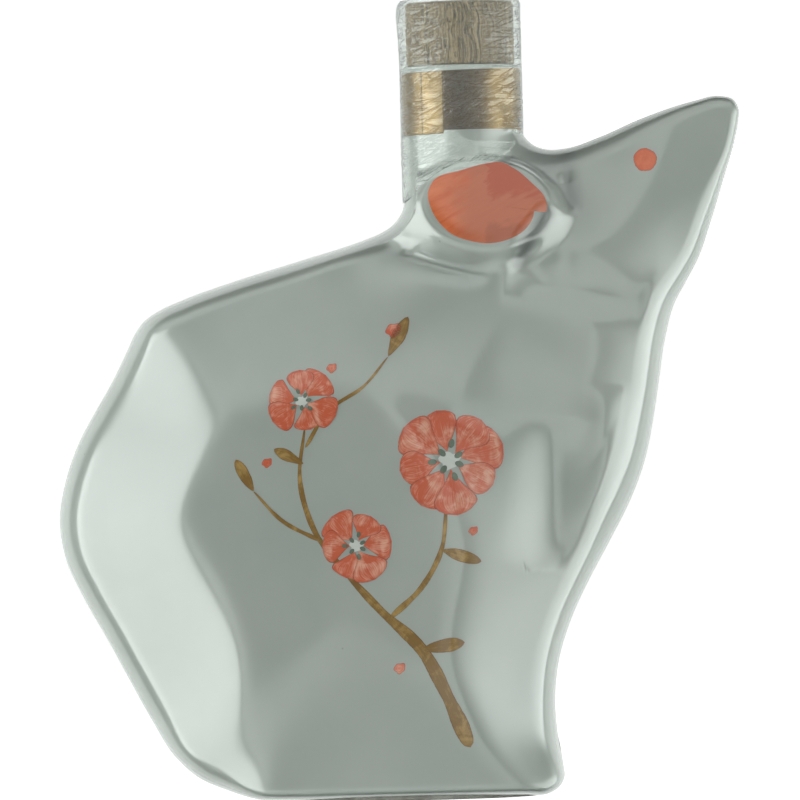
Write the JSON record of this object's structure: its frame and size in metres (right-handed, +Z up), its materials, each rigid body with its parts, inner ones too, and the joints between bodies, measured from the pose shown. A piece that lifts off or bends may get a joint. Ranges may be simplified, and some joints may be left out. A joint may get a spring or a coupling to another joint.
{
  "type": "figural liquor decanter",
  "caption": "White glazed porcelain decanter shaped as a seated mouse, with painted ears and eyes, a straight neck behind the ears, a wood-topped cork, a gold seal tape and a loose clear shrink film",
  "frame": {"origin": "on the table, under the middle of the bounding box", "axes": "+Z up, +X towards the snout, +Y across the bottle to its far side; the bottle is the same on both sides of the XZ plane"},
  "size_m": [0.1725, 0.059, 0.1991],
  "materials": {
    "glazed_porcelain": "clear gloss glaze over white porcelain",
    "turned_wood": "turned, fine upright grain, bare",
    "cork": "natural cork",
    "gold_foil_tape": "satin gold foil on paper",
    "clear_film": "thin clear shrink film, wrinkled"
  },
  "bodies": {
    "bottle": {"bottle_body": "glazed_porcelain", "seal_tape": "gold_foil_tape"},
    "stopper": {"stopper_head": "turned_wood", "stopper_cork": "cork"},
    "film": {"clear_film": "clear_film"}
  },
  "joints": [
    {"name": "stopper_lift", "type": "slide", "parent": "bottle", "child": "stopper", "axis": [0, 0, 1], "range_m": [0, 0.045]},
    {"name": "film_lift", "type": "slide", "parent": "bottle", "child": "film", "axis": [0, 0, 1], "range_m": [0, 0.055]}
  ]
}
